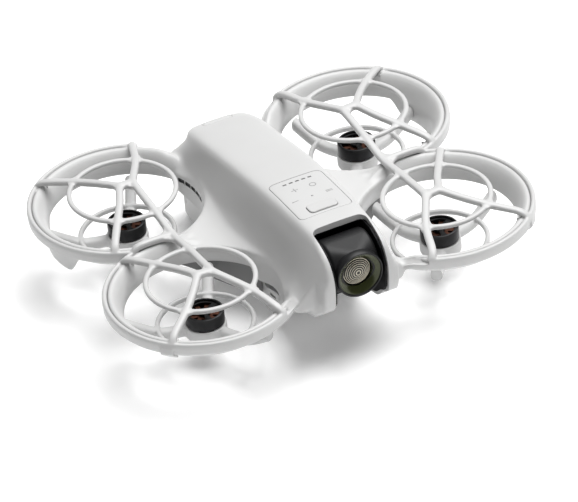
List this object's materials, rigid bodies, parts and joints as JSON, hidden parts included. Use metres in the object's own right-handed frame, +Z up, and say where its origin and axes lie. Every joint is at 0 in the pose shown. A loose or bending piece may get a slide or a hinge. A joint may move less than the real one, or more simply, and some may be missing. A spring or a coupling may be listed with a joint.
{
  "type": "ducted camera drone",
  "caption": "Palm-size flying camera drone: a smooth white fuselage between ducted rotors under domed guards, with a tilting camera in its nose.",
  "frame": {"origin": "on the surface the craft rests on, under the middle of its outline in plan", "axes": "+X to the craft's left, across both guards; -Y forward, where the camera looks; +Z up"},
  "size_m": [0.157, 0.13, 0.0488],
  "materials": {
    "shell_white": "satin, very fine moulded grain",
    "guard_white": "satin, smooth moulding",
    "frame_white": "satin, slightly greyer in the shade of the ducts",
    "button_white": "satin, smooth",
    "motor_black": "black anodised, semi-gloss",
    "liner_black": "glossy black",
    "camera_grey": "dark grey, fine texture",
    "vent_black": "matte black",
    "bezel_green": "dark, with an olive sheen",
    "lens_glass": "clear, coated",
    "copper": "varnished copper wire",
    "steel": "bright steel",
    "aluminium": "plain aluminium",
    "board_green": "green circuit board",
    "battery_white": "satin",
    "cell_silver": "foil pouch",
    "ceramic": "pale ceramic or milky plastic"
  },
  "bodies": {
    "airframe": {"upper_shell": "shell_white", "lower_shell": "shell_white", "control_panel": "shell_white", "bottom_cover": "shell_white", "camera_bay_liner": "liner_black", "tilt_motor": "steel", "tilt_bearing": "steel", "control_board": "board_green", "light_guide": "ceramic", "main_board": "board_green", "heat_sink": "aluminium", "gnss_antenna": "ceramic", "flight_board": "board_green", "down_camera": "liner_black", "range_sensor": "liner_black", "battery_connector": "liner_black", "usb_c_port": "steel", "vent_grille_right": "vent_black", "vent_grille_left": "vent_black", "louver_right": "frame_white", "louver_left": "frame_white", "guard_right": "guard_white", "guard_left": "guard_white", "duct_front_right": "shell_white", "motor_mount_front_right": "frame_white", "motor_stator_front_right": "copper", "belly_screw_front_right": "steel", "duct_front_left": "shell_white", "motor_mount_front_left": "frame_white", "motor_stator_front_left": "copper", "belly_screw_front_left": "steel", "duct_rear_right": "shell_white", "motor_mount_rear_right": "frame_white", "motor_stator_rear_right": "copper", "belly_screw_rear_right": "steel", "duct_rear_left": "shell_white", "motor_mount_rear_left": "frame_white", "motor_stator_rear_left": "copper", "belly_screw_rear_left": "steel"},
    "camera_head": {"camera_body": "camera_grey", "lens_ring": "camera_grey", "lens_bezel": "bezel_green", "lens_glass": "lens_glass", "lens_barrel": "liner_black", "image_sensor": "board_green"},
    "mode_button": {"mode_button": "button_white"},
    "power_button": {"power_button": "button_white"},
    "battery": {"battery_case": "battery_white", "battery_cell_1": "cell_silver", "battery_cell_2": "cell_silver"},
    "battery_latch_right": {"battery_latch_right": "battery_white"},
    "battery_latch_left": {"battery_latch_left": "battery_white"},
    "rotor_front_right": {"motor_bell_front_right": "motor_black", "motor_shaft_front_right": "steel"},
    "rotor_front_left": {"motor_bell_front_left": "motor_black", "motor_shaft_front_left": "steel"},
    "rotor_rear_right": {"motor_bell_rear_right": "motor_black", "motor_shaft_rear_right": "steel"},
    "rotor_rear_left": {"motor_bell_rear_left": "motor_black", "motor_shaft_rear_left": "steel"}
  },
  "joints": [
    {"name": "camera_tilt", "type": "hinge", "parent": "airframe", "child": "camera_head", "pos_m": [0, -0.0513, 0.0354], "axis": [1, 0, 0], "range_deg": [-60, 90]},
    {"name": "mode_button_press", "type": "slide", "parent": "airframe", "child": "mode_button", "axis": [0, 0, -1], "range_m": [0, 0.0005], "stiffness_N_per_m": 400, "springref_m": -0.0005},
    {"name": "power_button_press", "type": "slide", "parent": "airframe", "child": "power_button", "axis": [0, 0, -1], "range_m": [0, 0.0005], "stiffness_N_per_m": 400, "springref_m": -0.0005},
    {"name": "battery_slide", "type": "slide", "parent": "airframe", "child": "battery", "axis": [0, 1, 0], "range_m": [0, 0.06]},
    {"name": "battery_latch_right_press", "type": "slide", "parent": "battery", "child": "battery_latch_right", "axis": [1, 0, 0], "range_m": [0, 0.0008], "stiffness_N_per_m": 500, "springref_m": -0.001},
    {"name": "battery_latch_left_press", "type": "slide", "parent": "battery", "child": "battery_latch_left", "axis": [-1, 0, 0], "range_m": [0, 0.0008], "stiffness_N_per_m": 500, "springref_m": -0.001},
    {"name": "rotor_front_right_spin", "type": "hinge", "parent": "airframe", "child": "rotor_front_right", "pos_m": [-0.04475, -0.03125, 0.0202], "axis": [0, 0, 1], "continuous": true},
    {"name": "rotor_front_left_spin", "type": "hinge", "parent": "airframe", "child": "rotor_front_left", "pos_m": [0.04475, -0.03125, 0.0202], "axis": [0, 0, 1], "continuous": true},
    {"name": "rotor_rear_right_spin", "type": "hinge", "parent": "airframe", "child": "rotor_rear_right", "pos_m": [-0.04475, 0.03125, 0.0202], "axis": [0, 0, 1], "continuous": true},
    {"name": "rotor_rear_left_spin", "type": "hinge", "parent": "airframe", "child": "rotor_rear_left", "pos_m": [0.04475, 0.03125, 0.0202], "axis": [0, 0, 1], "continuous": true}
  ]
}
